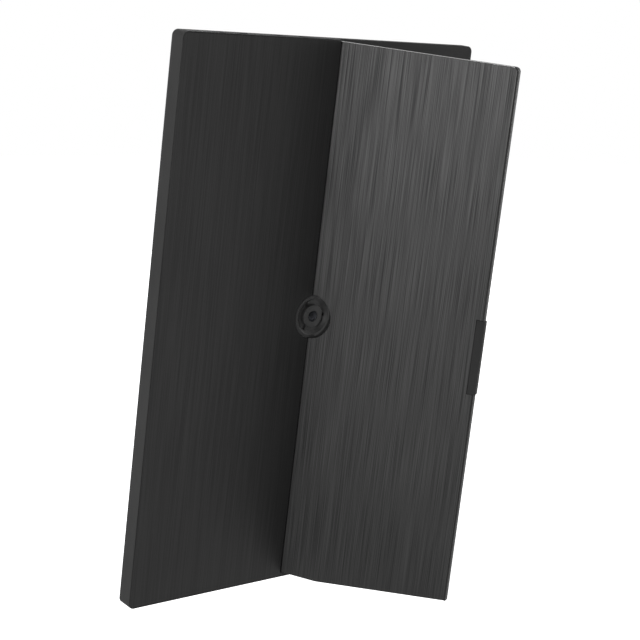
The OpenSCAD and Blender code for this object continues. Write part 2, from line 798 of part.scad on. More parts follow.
// A stadium-shaped rubber foot in the side wall, sunk by a depth and standing proud
module foot_shape(z, deep, proud, shrink = 0) {
  w = foot_w - 2 * shrink;
  l = foot_l - 2 * shrink;
  translate([-half_w - proud, foot_y, z]) rotate([0, 90, 0]) {
    for (s = [-1, 1]) translate([s * (l - w) / 2, 0, 0]) cylinder(d = w, h = deep + proud);
    translate([-(l - w) / 2, -w / 2, 0]) cube([l - w, w, deep + proud]);
  }
}

module edge_feet() {
  color("#202123") stance() for (z = foot_zs) foot_shape(z, foot_deep, foot_proud);
}

// The closed flap's outline, without its foot cut
module flap_outline(x1 = hinge_x) {
  difference() {
    union() {
      translate([flap_x0, flap_z0]) square([x1 - flap_x0, flap_z1 - flap_z0 - flap_corner_r]);
      translate([flap_x0 + flap_corner_r, flap_z0])
        square([x1 - flap_x0 - flap_corner_r, flap_z1 - flap_z0]);
      translate([flap_x0 + flap_corner_r, flap_z1 - flap_corner_r]) circle(flap_corner_r);
    }
    translate([hinge_x, socket_z]) circle(notch_r, $fn = 96);
  }
}

flap_rim_gap = 0.1;

// The flap's outline less a strip along the free edge
module skin_outline(strip) {
  intersection() {
    flap_outline();
    translate([strip, 0]) flap_outline();
  }
}

// Turns the flap from closed to where it stands open
module open_flap() {
  stance() turn_flap(rest_open) children();
}

module flap_skin() {
  color("#58595c") open_flap() difference() {
    slab(panel_seat, 0) skin_outline(flap_rim_w + flap_rim_gap);
    below_table();
    tab_seat();
  }
}

// Where the rubber tab grips the flap's edge: the face, the edge and the inner face are cut back
module tab_seat(play = 0.05) {
  z0 = tab_z - tab_l / 2 - play;
  z1 = tab_z + tab_l / 2 + play;
  block([flap_x0 - 1, -tab_step, z0], [flap_x0 + tab_w + play, 1, z1]);
  block([flap_x0 - 1, -flap_t - 1, z0], [flap_x0 + tab_w + play, -flap_t + tab_step, z1]);
  block([flap_x0 - 1, -flap_t - 1, z0], [flap_x0 + tab_lip, 1, z1]);
}

tab_step = 1;
tab_lip = 1.2;

// Moulded flap frame: a flat inner face, a ribbed core and a half-round edge on the hinge axis
module flap_frame() {
  color("#323335") open_flap() difference() {
    union() {
      slab(-flap_t, panel_seat) flap_outline();
      slab(panel_seat - eps, 0) difference() {
        flap_outline();
        skin_outline(flap_rim_w);
      }
      intersection() {
        rod_z(hinge_x, hinge_y, flap_t, flap_z0, flap_z1);
        block([hinge_x - eps, -far, 0], [far, far, body_h]);
      }
    }
    below_table();
    rod_y(hinge_x, socket_z, 2 * notch_r, -body_t, 1);
    flap_pockets();
    for (z = hinge_zs) hinge_station(z);
    tab_seat();
  }
}

// Hollows between the frame's webs, open towards the skin
module flap_pockets() {
  columns = 3;
  rows = 9;
  x0 = flap_x0 + flap_wall;
  z0 = flap_z0 + flap_wall;
  cell_w = (hinge_x - flap_wall - x0) / columns;
  cell_h = (flap_z1 - flap_wall - z0) / rows;
  difference() {
    for (i = [0:columns - 1], j = [0:rows - 1])
      block([x0 + i * cell_w + rib_w / 2, -flap_t + flap_floor, z0 + j * cell_h + rib_w / 2],
        [x0 + (i + 1) * cell_w - rib_w / 2, 1, z0 + (j + 1) * cell_h - rib_w / 2]);
    below_table(flap_wall);
    rod_y(hinge_x, socket_z, 2 * (notch_r + flap_wall), -body_t, 1);
    for (z = hinge_zs) block([hinge_x - leaf_reach - flap_wall, -body_t, z - pin_half - flap_wall],
      [far, far, z + pin_half + flap_wall]);
    block([flap_x0, -body_t, tab_z - tab_l / 2 - flap_wall],
      [flap_x0 + tab_w + flap_wall, far, tab_z + tab_l / 2 + flap_wall]);
  }
}

// The gap in the frame's round edge for a hinge, and the seat of its flap leaf
module hinge_station(z) {
  half = pin_half + pin_head_t + station_gap;
  block([hinge_x - barrel_d / 2 - station_gap, -far, z - half], [far, panel_seat + 1, z + half]);
  block([hinge_x - leaf_reach - seat_gap, flap_leaf_y, z - pin_half - seat_gap],
    [hinge_x, 1, z + pin_half + seat_gap]);
  for (s = [-1, 1]) rod_y(hinge_x - leaf_screw_x, z + s * leaf_screw_z, pilot_d,
    -flap_t + 0.9, 1);
}

// Leaves fixed under the flap's skin, each with two barrels that hold a pin
module flap_leaves() {
  color("#8a8d90") open_flap() for (z = hinge_zs) difference() {
    union() {
      for (s = [-1, 1]) {
        mid = z + s * (barrel_pair_z + flap_barrel_l / 2);
        rod_z(hinge_x, hinge_y, barrel_d, mid - flap_barrel_l / 2, mid + flap_barrel_l / 2);
        block([hinge_x - leaf_reach, flap_leaf_y, mid - flap_barrel_l / 2],
          [hinge_x, panel_seat, mid + flap_barrel_l / 2]);
      }
      block([hinge_x - leaf_reach, flap_leaf_y, z - pin_half],
        [hinge_x - barrel_d / 2 - station_gap, panel_seat, z + pin_half]);
    }
    rod_z(hinge_x, hinge_y, pin_d + 2 * press_gap, z - pin_half - 1, z + pin_half + 1);
    for (s = [-1, 1]) {
      rod_y(hinge_x - leaf_screw_x, z + s * leaf_screw_z, screw_d, -body_t, 1);
      rod_y(hinge_x - leaf_screw_x, z + s * leaf_screw_z, screw_head_d - 0.4,
        panel_seat - leaf_t / 2, 1);
    }
  }
}

// Steel pins, held in the flap leaves and turning in the fixed barrels
module hinge_pins() {
  color("#b9bcbf") open_flap() for (z = hinge_zs) {
    rod_z(hinge_x, hinge_y, pin_d, z - pin_half, z + pin_half);
    rod_z(hinge_x, hinge_y, 2 * pin_head_r, z + pin_half, z + pin_half + pin_head_t);
  }
}

module flap_screws() {
  color("#7d8083") open_flap() for (z = hinge_zs, s = [-1, 1]) {
    x = hinge_x - leaf_screw_x;
    rod_y(x, z + s * leaf_screw_z, screw_head_d - 0.6, panel_seat - leaf_t / 2, panel_seat - 0.05);
    rod_y(x, z + s * leaf_screw_z, pilot_d - 0.02, -flap_t + 1, panel_seat - leaf_t / 2);
  }
}

// Soft rubber tab wrapped round the flap's free edge, a grip and a foot for the landscape stand
module edge_tab() {
  z0 = tab_z - tab_l / 2;
  z1 = tab_z + tab_l / 2;
  color("#3b3c3e") open_flap() difference() {
    union() {
      slab(-flap_t, tab_raise) round_rect(flap_x0 - tab_proud, z0, flap_x0 + tab_w, z1, 0.8);
    }
    block([flap_x0 + tab_lip, -flap_t + tab_step, z0 - 1], [far, -tab_step, z1 + 1]);
  }
}

// A key: a pill-shaped cap through the end wall, a flange behind the wall and a short stem
module key(x) {
  color("#2f3032") stance() {
    translate([0, 0, key_in - eps]) pill(x, switch_y, key_w, key_h, side_wall + key_proud + eps);
    translate([0, 0, key_in - key_flange_t])
      pill(x, switch_y, key_w + 2 * key_flange, key_h + 2 * key_flange, key_flange_t);
    rod_z(x, switch_y, 2.4, switch_z1, key_in - key_flange_t + eps);
  }
}

module menu_key() {
  key(key_xs[0]);
}

module power_key() {
  key(key_xs[1]);
}

rear_housing();
front_bezel();
back_panel();
panel_gasket();
lcd_cell();
diffuser_films();
light_guide();
reflector_sheet();
led_bar();
lcd_tray();
driver_board();
panel_cable();
mainboard();
shield_can();
usb_c_sockets();
key_board();
tact_switches();
status_light();
board_screws();
bezel_screws();
socket_dish();
tripod_insert();
socket_screws();
fixed_leaves();
leaf_screws();
edge_feet();
flap_skin();
flap_frame();
flap_leaves();
hinge_pins();
flap_screws();
edge_tab();
menu_key();
power_key();
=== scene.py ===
import json
import math
import bmesh
import bpy
from mathutils import Matrix, Vector


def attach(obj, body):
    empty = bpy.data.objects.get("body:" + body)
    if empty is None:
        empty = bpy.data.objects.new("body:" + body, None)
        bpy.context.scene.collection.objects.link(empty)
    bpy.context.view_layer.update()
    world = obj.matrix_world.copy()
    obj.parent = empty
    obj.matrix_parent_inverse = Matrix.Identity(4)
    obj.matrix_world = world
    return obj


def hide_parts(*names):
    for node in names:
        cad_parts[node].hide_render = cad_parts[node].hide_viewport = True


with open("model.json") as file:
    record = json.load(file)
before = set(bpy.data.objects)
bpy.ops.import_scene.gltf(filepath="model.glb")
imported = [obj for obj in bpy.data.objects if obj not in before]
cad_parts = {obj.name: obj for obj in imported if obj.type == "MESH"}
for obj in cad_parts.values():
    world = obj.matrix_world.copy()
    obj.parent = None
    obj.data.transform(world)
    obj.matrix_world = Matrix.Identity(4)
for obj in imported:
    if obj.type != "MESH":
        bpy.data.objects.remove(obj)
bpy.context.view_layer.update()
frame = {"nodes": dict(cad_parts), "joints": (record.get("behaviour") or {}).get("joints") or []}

# ---------------------------------------------------------------------------------------
# The place it stands in: a table of white paper, a large soft light on the side of the fixed
# half, weaker ones all round, and the camera where the photograph was taken from.
EYE = (0.645524, 0.748468, 0.321104)
HEADING, TILT, ROLL = 139.421, 83.98, 1.566
camera_data = bpy.data.cameras.new("camera")
camera_data.lens = 89.656
camera_data.sensor_width = 36
camera_data.shift_x = -0.04736
camera_data.shift_y = -0.08556
camera = bpy.data.objects.new("camera", camera_data)
bpy.context.scene.collection.objects.link(camera)
camera.matrix_world = (Matrix.Translation(EYE) @ Matrix.Rotation(math.radians(HEADING), 4, "Z")
                       @ Matrix.Rotation(math.radians(TILT), 4, "X")
                       @ Matrix.Rotation(math.radians(ROLL), 4, "Z"))
bpy.context.scene.camera = camera
bpy.context.scene.view_settings.view_transform = "Standard"


def to_linear(hex_colour):
    """An sRGB hex colour as the linear values that a shader takes."""
    parts = [int(hex_colour[i:i + 2], 16) / 255 for i in (1, 3, 5)]
    return [p / 12.92 if p <= 0.04045 else ((p + 0.055) / 1.055) ** 2.4 for p in parts] + [1]


def add(tree, kind, sockets=None, **settings):
    """Adds a node with its settings. A socket takes a plain value or another node's output."""
    node = tree.nodes.new(kind)
    for name, value in settings.items():
        setattr(node, name, value)
    for name, value in (sockets or {}).items():
        if isinstance(value, bpy.types.NodeSocket):
            tree.links.new(value, node.inputs[name])
        else:
            node.inputs[name].default_value = value
    return node


def lamp(name, place, target, size, power):
    """A soft rectangular studio light."""
    data = bpy.data.lights.new(name, "AREA")
    data.shape = "RECTANGLE"
    data.size, data.size_y = size
    data.energy = power
    light = bpy.data.objects.new(name, data)
    light.location = place
    light.rotation_euler = (Vector(target) - Vector(place)).to_track_quat("-Z", "Y").to_euler()
    bpy.context.scene.collection.objects.link(light)


MIDDLE = (0, 0, 0.18)
lamp("side_softbox", (1.75, 0.95, 0.4), MIDDLE, (0.9, 1.0), 25)
lamp("edge_softbox", (1.85, -0.15, 0.45), MIDDLE, (0.5, 1.0), 10)
lamp("back_softbox", (-0.2, 2.0, 0.9), MIDDLE, (1.2, 1.2), 12)
lamp("top_softbox", (-0.2, -0.5, 1.9), MIDDLE, (1.4, 1.0), 3)
lamp("front_softbox", (-0.6, -2.0, 0.9), MIDDLE, (1.2, 1.2), 12)
lamp("left_softbox", (-1.95, -0.05, 0.4), MIDDLE, (1.0, 1.0), 16)

world = bpy.data.worlds.new("studio")
bpy.context.scene.world = world
world.use_nodes = True
sky = world.node_tree
sky.nodes.clear()
rays = add(sky, "ShaderNodeLightPath")
seen = add(sky, "ShaderNodeMath", {0: rays.outputs["Is Camera Ray"],
                                   1: rays.outputs["Is Glossy Ray"]}, operation="MAXIMUM")
seen = add(sky, "ShaderNodeMath", {0: seen.outputs[0],
                                   1: rays.outputs["Is Transmission Ray"]}, operation="MAXIMUM")
fill = add(sky, "ShaderNodeBackground", {"Color": to_linear("#f5f5f5"), "Strength": 0.12})
white = add(sky, "ShaderNodeBackground", {"Color": (1, 1, 1, 1), "Strength": 1.0})
mixed = add(sky, "ShaderNodeMixShader", {0: seen.outputs[0], 1: fill.outputs[0],
                                         2: white.outputs[0]})
add(sky, "ShaderNodeOutputWorld", {"Surface": mixed.outputs[0]})

bm = bmesh.new()
bmesh.ops.create_grid(bm, x_segments=1, y_segments=1, size=6)
floor_mesh = bpy.data.meshes.new("table_top")
bm.to_mesh(floor_mesh)
bm.free()
floor = bpy.data.objects.new("table_top", floor_mesh)
floor.location.z = -0.0002
bpy.context.scene.collection.objects.link(floor)

# White paper: it shows as white as the world behind it, and keeps the object's soft shadow.
paper = bpy.data.materials.new("white_paper_sweep")
paper.use_nodes = True
tree = paper.node_tree
tree.nodes.clear()
rays = add(tree, "ShaderNodeLightPath")
seen = add(tree, "ShaderNodeMath", {0: rays.outputs["Is Camera Ray"],
                                    1: rays.outputs["Is Glossy Ray"]}, operation="MAXIMUM")
seen = add(tree, "ShaderNodeMath", {0: seen.outputs[0],
                                    1: rays.outputs["Is Transmission Ray"]}, operation="MAXIMUM")
matte = add(tree, "ShaderNodeBsdfDiffuse", {"Color": to_linear("#f2f2f2"), "Roughness": 1})
glow = add(tree, "ShaderNodeEmission", {"Color": (1, 1, 1, 1), "Strength": 1.0})
lit = add(tree, "ShaderNodeAddShader", {0: matte.outputs[0], 1: glow.outputs[0]})
shown = add(tree, "ShaderNodeMixShader", {0: seen.outputs[0], 1: matte.outputs[0],
                                          2: lit.outputs[0]})
add(tree, "ShaderNodeOutputMaterial", {"Surface": shown.outputs[0]})
floor_mesh.materials.append(paper)


# ---------------------------------------------------------------------------------------
# The front frame: black ABS, injection moulded with a fine matte grain, and snapped and
# screwed to the housing. Its outer edge is rounded where a hand holds it, and a fine line
# is left where it meets the housing.
NODES = frame["nodes"]
MM = 0.001
BODY_W, BODY_T, BODY_H = 238, 11.8, 360
HALF_W = BODY_W / 2
CORNER_R = 4
SEAM_Y = -10.6
WINDOW_REACH = 112
HINGE_X, HINGE_Y = -2.7, -2.2

# Shapes are picked out with the body upright and the flap closed: x across the short side,
# y through the thickness with the back at 0, z up the long side, in millimetres.
hinge = next(j for j in frame["joints"] if j["name"] == "flap_hinge")
LEAN = math.atan2(-hinge["axis"][1], -hinge["axis"][2])
OPEN = math.radians(-hinge["range_deg"][0])
at_hinge = Vector((HINGE_X, HINGE_Y, BODY_H / 2)) * MM
leant = Matrix.Rotation(LEAN, 4, "X")
TO_UPRIGHT = Matrix.Translation(at_hinge - leant @ Vector(hinge["pos_m"])) @ leant
TO_CLOSED = (Matrix.Translation(at_hinge) @ Matrix.Rotation(OPEN, 4, "Z")
             @ Matrix.Translation(-at_hinge) @ TO_UPRIGHT)
FROM_UPRIGHT = TO_UPRIGHT.inverted()
FROM_CLOSED = TO_CLOSED.inverted()


def bare(name):
    """A new material, and its empty node tree."""
    made = bpy.data.materials.new(name)
    made.use_nodes = True
    made.node_tree.nodes.clear()
    return made, made.node_tree


def moulded(name, dark, light, grain_mm=0.9, roughness=0.55, specular=0.3, depth_mm=0.02):
    """Injection-moulded plastic or rubber with a fine spark-eroded grain. The real grain,
    near 0.1 mm, is drawn coarser so that it shows. A slow drift in tone keeps large faces
    from looking flat."""
    made, nodes = bare(name)
    place = add(nodes, "ShaderNodeTexCoord").outputs["Object"]
    grain = add(nodes, "ShaderNodeTexNoise", {"Vector": place, "Scale": 1 / (grain_mm * MM),
                                              "Detail": 3, "Roughness": 0.6}).outputs[0]
    drift = add(nodes, "ShaderNodeTexNoise", {"Vector": place, "Scale": 1 / (34 * MM),
                                              "Detail": 2}).outputs[0]
    both = add(nodes, "ShaderNodeMath", {0: grain, 1: drift}, operation="ADD").outputs[0]
    depth = add(nodes, "ShaderNodeMapRange", {"Value": both, "From Min": 0.7, "From Max": 1.3})
    tone = add(nodes, "ShaderNodeMix", {0: depth.outputs[0], 6: to_linear(dark),
                                        7: to_linear(light)}, data_type="RGBA")
    shine = add(nodes, "ShaderNodeMapRange", {
        "Value": grain, "From Min": 0.3, "From Max": 0.7,
        "To Min": roughness - 0.05, "To Max": roughness + 0.05})
    bump = add(nodes, "ShaderNodeBump", {"Height": grain, "Distance": depth_mm * MM,
                                         "Strength": 0.5})
    shader = add(nodes, "ShaderNodeBsdfPrincipled", {
        "Base Color": tone.outputs[2], "Roughness": shine.outputs[0], "IOR": 1.5,
        "Specular IOR Level": specular, "Normal": bump.outputs[0]})
    add(nodes, "ShaderNodeOutputMaterial", {"Surface": shader.outputs[0]})
    return made


def coat(node, made):
    """Gives a CAD node its finish."""
    for slot in NODES[node].material_slots:
        slot.material = made


def merged(node):
    """A copy of a CAD node's mesh with its loose triangles merged into flat faces."""
    shape = bmesh.new()
    shape.from_mesh(NODES[node].data)
    bmesh.ops.remove_doubles(shape, verts=shape.verts, dist=0.002 * MM)
    bmesh.ops.dissolve_limit(shape, angle_limit=math.radians(0.4), verts=shape.verts,
                             edges=shape.edges, delimit=set())
    return shape


def round_edges(shape, place, chosen, radius, segments=3):
    """Rounds the sharp edges whose two ends, moved by place, are both chosen."""
    picked = [e for e in shape.edges
              if len(e.link_faces) == 2 and e.calc_face_angle(0) > math.radians(28)
              and all(chosen(place @ v.co / MM) for v in e.verts)]
    bmesh.ops.bevel(shape, geom=picked, offset=radius * MM, offset_type="OFFSET",
                    segments=segments, profile=0.5, affect="EDGES", clamp_overlap=True,
                    material=-1)


def finished(shape, name, body, made, node=None, smooth=40):
    """Makes a piece of a shape that is already in place, smooth on its round parts."""
    mesh = bpy.data.meshes.new(name)
    shape.to_mesh(mesh)
    shape.free()
    mesh.materials.append(made)
    for face in mesh.polygons:
        face.use_smooth = True
    mesh.set_sharp_from_angle(angle=math.radians(smooth))
    piece = bpy.data.objects.new(name, mesh)
    bpy.context.scene.collection.objects.link(piece)
    weighted = piece.modifiers.new("weighted", "WEIGHTED_NORMAL")
    weighted.keep_sharp = True
    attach(piece, body)
    if node:
        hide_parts(node)
    return piece


def near(value, level, within=0.06):
    return abs(value - level) < within


def on_outline(p, inset=0.0):
    """Whether a point of the upright body lies on its outline, inset by a distance."""
    corner = max(CORNER_R - inset, 0.4)
    dx = abs(p.x) - (HALF_W - inset - corner)
    dz = abs(p.z - BODY_H / 2) - (BODY_H / 2 - inset - corner)
    if dx > 0 and dz > 0:
        return abs(math.hypot(dx, dz) - corner) < 0.12
    return near(max(dx, dz), corner, 0.08)


shape = merged("front_bezel")
round_edges(shape, TO_UPRIGHT, lambda p: near(p.y, -BODY_T) and on_outline(p), 0.8, 4)
round_edges(shape, TO_UPRIGHT, lambda p: near(p.y, -BODY_T) and not on_outline(p, 0.8)
            and abs(p.x) < WINDOW_REACH, 0.25, 2)
round_edges(shape, TO_UPRIGHT, lambda p: near(p.y, SEAM_Y) and on_outline(p), 0.12, 1)
finished(shape, "front_frame", "monitor_body",
         moulded("black_abs_fine_grain", "#202124", "#26272a"), "front_bezel")


# ---------------------------------------------------------------------------------------
# The screen's foam frame: black closed-cell foam, die-cut and stuck to the front frame,
# where it keeps dust out from under the glass.
coat("panel_gasket", moulded("black_closed_cell_foam", "#131314", "#1c1c1e", 0.5, 0.9, 0.1, 0.08))


# ---------------------------------------------------------------------------------------
# The screen: liquid-crystal glass behind an anti-glare polariser, which has a fine etched
# sparkle. Unlit, the lit area is a neutral near-black inside the darker printed border.
LIT_X = (-83.6, 110)
LIT_Z = (7.9, 352.1)
glass, nodes = bare("anti_glare_glass")
place = add(nodes, "ShaderNodeTexCoord").outputs["Object"]
level = add(nodes, "ShaderNodeMapping", {
    "Vector": place, "Location": FROM_UPRIGHT @ (Vector((sum(LIT_X) / 2, 0, sum(LIT_Z) / 2)) * MM),
    "Rotation": FROM_UPRIGHT.to_euler()}, vector_type="TEXTURE")
sides = add(nodes, "ShaderNodeSeparateXYZ", {0: level.outputs[0]})
across = add(nodes, "ShaderNodeMath", {0: sides.outputs["X"]}, operation="ABSOLUTE")
along = add(nodes, "ShaderNodeMath", {0: sides.outputs["Z"]}, operation="ABSOLUTE")
within_x = add(nodes, "ShaderNodeMath", {0: across.outputs[0],
                                         1: (LIT_X[1] - LIT_X[0]) / 2 * MM}, operation="LESS_THAN")
within_z = add(nodes, "ShaderNodeMath", {0: along.outputs[0],
                                         1: (LIT_Z[1] - LIT_Z[0]) / 2 * MM}, operation="LESS_THAN")
lit_area = add(nodes, "ShaderNodeMath", {0: within_x.outputs[0], 1: within_z.outputs[0]},
               operation="MULTIPLY")
# The etch is near 0.02 mm across; it is drawn at 0.4 mm so that it shows as a faint sparkle.
etch = add(nodes, "ShaderNodeTexNoise", {"Vector": place, "Scale": 1 / (0.4 * MM), "Detail": 1})
haze = add(nodes, "ShaderNodeMapRange", {"Value": etch.outputs[0], "From Min": 0.3,
                                         "From Max": 0.7, "To Min": 0.2, "To Max": 0.3})
tone = add(nodes, "ShaderNodeMix", {0: lit_area.outputs[0], 6: to_linear("#060607"),
                                    7: to_linear("#0f1013")}, data_type="RGBA")
bump = add(nodes, "ShaderNodeBump", {"Height": etch.outputs[0], "Distance": 0.004 * MM,
                                     "Strength": 0.4})
shader = add(nodes, "ShaderNodeBsdfPrincipled", {
    "Base Color": tone.outputs[2], "Roughness": haze.outputs[0], "IOR": 1.5,
    "Specular IOR Level": 0.5, "Normal": bump.outputs[0]})
add(nodes, "ShaderNodeOutputMaterial", {"Surface": shader.outputs[0]})
coat("lcd_cell", glass)


# ---------------------------------------------------------------------------------------
# The films over the backlight and the reflector under it: thin milky polyester sheets,
# laid loose in the tray. Rolling leaves very faint bands along them.
for node, name, dark, light, shine in (
        ("diffuser_films", "milky_prism_film", "#dcdcd6", "#ecece8", 0.35),
        ("reflector_sheet", "white_reflector_film", "#ededea", "#f8f8f6", 0.5)):
    film, nodes = bare(name)
    place = add(nodes, "ShaderNodeTexCoord").outputs["Object"]
    level = add(nodes, "ShaderNodeMapping", {
        "Vector": place, "Rotation": FROM_UPRIGHT.to_euler(),
        "Scale": (3 * MM, 3 * MM, 220 * MM)}, vector_type="TEXTURE")
    bands = add(nodes, "ShaderNodeTexNoise", {"Vector": level.outputs[0], "Scale": 1,
                                              "Detail": 2})
    tone = add(nodes, "ShaderNodeMix", {0: bands.outputs[0], 6: to_linear(dark),
                                        7: to_linear(light)}, data_type="RGBA")
    bump = add(nodes, "ShaderNodeBump", {"Height": bands.outputs[0], "Distance": 0.01 * MM,
                                         "Strength": 0.4})
    shader = add(nodes, "ShaderNodeBsdfPrincipled", {
        "Base Color": tone.outputs[2], "Roughness": shine, "IOR": 1.57,
        "Normal": bump.outputs[0]})
    add(nodes, "ShaderNodeOutputMaterial", {"Surface": shader.outputs[0]})
    coat(node, film)


# ---------------------------------------------------------------------------------------
# The light guide: a clear acrylic sheet, laser-cut, with a grid of white dots printed on
# its back that let the light of the diodes out evenly. The real dots, near 0.3 mm, are
# drawn 2 mm apart so that they show.
acrylic, nodes = bare("clear_acrylic_dotted")
place = add(nodes, "ShaderNodeTexCoord").outputs["Object"]
level = add(nodes, "ShaderNodeMapping", {"Vector": place, "Rotation": FROM_UPRIGHT.to_euler()},
            vector_type="TEXTURE")
dots = add(nodes, "ShaderNodeTexVoronoi", {"Vector": level.outputs[0], "Scale": 1 / (2 * MM),
                                           "Randomness": 0.0})
spot = add(nodes, "ShaderNodeMath", {0: dots.outputs["Distance"], 1: 0.28},
           operation="LESS_THAN")
tone = add(nodes, "ShaderNodeMix", {0: spot.outputs[0], 6: to_linear("#cfdadd"),
                                    7: to_linear("#ffffff")}, data_type="RGBA")
shader = add(nodes, "ShaderNodeBsdfPrincipled", {
    "Base Color": tone.outputs[2], "Roughness": 0.08, "IOR": 1.49})
add(nodes, "ShaderNodeOutputMaterial", {"Surface": shader.outputs[0]})
coat("light_guide", acrylic)


# ---------------------------------------------------------------------------------------
# The backlight's strip and the screen's flat cable: amber polyimide flex with printed copper
# tracks, the strip stuck along the light guide with its row of white diodes. The cable's
# conductors, 0.5 mm apart, are drawn 1 mm apart so that they show.
def flex(name, ground, track, pitch_mm):
    """Polyimide flex with tracks that run along the body's long side."""
    made, nodes = bare(name)
    place = add(nodes, "ShaderNodeTexCoord").outputs["Object"]
    level = add(nodes, "ShaderNodeMapping", {"Vector": place,
                                             "Rotation": FROM_UPRIGHT.to_euler()},
                vector_type="TEXTURE")
    tracks = add(nodes, "ShaderNodeTexWave", {
        "Vector": level.outputs[0], "Scale": 0.314 / (pitch_mm * MM), "Distortion": 0.0},
        bands_direction="X")
    tone = add(nodes, "ShaderNodeMix", {0: tracks.outputs["Fac"], 6: to_linear(ground),
                                        7: to_linear(track)}, data_type="RGBA")
    bump = add(nodes, "ShaderNodeBump", {"Height": tracks.outputs["Fac"],
                                         "Distance": 0.03 * MM, "Strength": 0.5})
    shader = add(nodes, "ShaderNodeBsdfPrincipled", {
        "Base Color": tone.outputs[2], "Roughness": 0.4, "IOR": 1.6,
        "Normal": bump.outputs[0]})
    add(nodes, "ShaderNodeOutputMaterial", {"Surface": shader.outputs[0]})
    return made


coat("led_bar", flex("amber_polyimide_strip", "#c9a24a", "#e6cf8c", 0.8))
coat("panel_cable", flex("polyimide_flat_cable", "#bca779", "#dccb9c", 1.0))


# ---------------------------------------------------------------------------------------
# The screen's tray: 0.4 mm aluminium sheet, folded in a press and left bare. Rolling gives
# the sheet its long faint lines, and handling some fine scratches.
def sheet_metal(name, dark, light, roughness=0.38, line_mm=0.7):
    """Bare rolled or stamped metal with fine lines along the body's long side."""
    made, nodes = bare(name)
    place = add(nodes, "ShaderNodeTexCoord").outputs["Object"]
    level = add(nodes, "ShaderNodeMapping", {
        "Vector": place, "Rotation": FROM_UPRIGHT.to_euler(),
        "Scale": (line_mm * MM, line_mm * MM, 24 * MM)}, vector_type="TEXTURE")
    lines = add(nodes, "ShaderNodeTexNoise", {"Vector": level.outputs[0], "Scale": 1,
                                              "Detail": 3})
    tone = add(nodes, "ShaderNodeMix", {0: lines.outputs[0], 6: to_linear(dark),
                                        7: to_linear(light)}, data_type="RGBA")
    shine = add(nodes, "ShaderNodeMapRange", {
        "Value": lines.outputs[0], "From Min": 0.3, "From Max": 0.7,
        "To Min": roughness - 0.08, "To Max": roughness + 0.08})
    bump = add(nodes, "ShaderNodeBump", {"Height": lines.outputs[0], "Distance": 0.01 * MM,
                                         "Strength": 0.4})
    shader = add(nodes, "ShaderNodeBsdfPrincipled", {
        "Base Color": tone.outputs[2], "Metallic": 1.0, "Roughness": shine.outputs[0],
        "Normal": bump.outputs[0]})
    add(nodes, "ShaderNodeOutputMaterial", {"Surface": shader.outputs[0]})
    return made


coat("lcd_tray", sheet_metal("pressed_bare_aluminium", "#8f9396", "#b0b4b7"))


# ---------------------------------------------------------------------------------------
# The three circuit boards: glass-fibre laminate under green solder mask. Copper tracks of
# about 1 mm show through the mask as a lighter green, with tinned pads among them.
def laminate(name, seed):
    """A green board with a maze of tracks and some bright pads."""
    made, nodes = bare(name)
    place = add(nodes, "ShaderNodeTexCoord").outputs["Object"]
    level = add(nodes, "ShaderNodeMapping", {
        "Vector": place, "Location": (seed * 0.013, 0, seed * 0.007),
        "Rotation": FROM_UPRIGHT.to_euler()}, vector_type="TEXTURE")
    tracks = add(nodes, "ShaderNodeTexVoronoi", {
        "Vector": level.outputs[0], "Scale": 1 / (3.2 * MM), "Randomness": 0.75},
        distance="CHEBYCHEV", feature="DISTANCE_TO_EDGE")
    copper = add(nodes, "ShaderNodeMath", {0: tracks.outputs["Distance"], 1: 0.12},
                 operation="LESS_THAN")
    pads = add(nodes, "ShaderNodeTexVoronoi", {
        "Vector": level.outputs[0], "Scale": 1 / (4.5 * MM), "Randomness": 1.0})
    tinned = add(nodes, "ShaderNodeMath", {0: pads.outputs["Distance"], 1: 0.1},
                 operation="LESS_THAN")
    green = add(nodes, "ShaderNodeMix", {0: copper.outputs[0], 6: to_linear("#174031"),
                                         7: to_linear("#245a41")}, data_type="RGBA")
    tone = add(nodes, "ShaderNodeMix", {0: tinned.outputs[0], 6: green.outputs[2],
                                        7: to_linear("#b9bcbe")}, data_type="RGBA")
    bump = add(nodes, "ShaderNodeBump", {"Height": copper.outputs[0], "Distance": 0.03 * MM,
                                         "Strength": 0.6})
    shader = add(nodes, "ShaderNodeBsdfPrincipled", {
        "Base Color": tone.outputs[2], "Metallic": tinned.outputs[0], "Roughness": 0.35,
        "IOR": 1.5, "Normal": bump.outputs[0]})
    add(nodes, "ShaderNodeOutputMaterial", {"Surface": shader.outputs[0]})
    return made


for seed, node in enumerate(("driver_board", "mainboard", "key_board")):
    coat(node, laminate("green_solder_mask_" + node, seed))


# ---------------------------------------------------------------------------------------
# The can over the converter chips: tinned sheet steel, drawn in one press stroke and
# soldered down at its rim, so its edges are softly rounded.
CAN_TOP_FROM = -3.1
shape = merged("shield_can")
round_edges(shape, TO_UPRIGHT, lambda p: p.y > CAN_TOP_FROM, 0.3, 3)
finished(shape, "drawn_shield_can", "monitor_body",
         sheet_metal("tinned_sheet_steel", "#a6a9ac", "#c6c9cc", 0.3, 1.2), "shield_can")


# ---------------------------------------------------------------------------------------
# The two USB-C sockets: shells rolled from nickel-plated steel round a black tongue, with
# twelve gold-plated contacts on each of its faces, soldered into the board's edge.
PORT_XS, PORT_Y, PORT_TOP = (26, 48), -4.62, 359.7
CONTACTS, CONTACT_PITCH, CONTACT_LIFT, CONTACT_DEPTH = 12, 0.5, 0.365, 3.5
CONTACT_SIZE = (0.24, 0.04, 3.2)
shape = merged("usb_c_sockets")
round_edges(shape, TO_UPRIGHT, lambda p: near(p.z, PORT_TOP), 0.08, 2)
finished(shape, "rolled_usb_c_shells", "monitor_body",
         sheet_metal("nickel_plated_steel", "#85898c", "#a3a6a9", 0.25, 0.5), "usb_c_sockets")

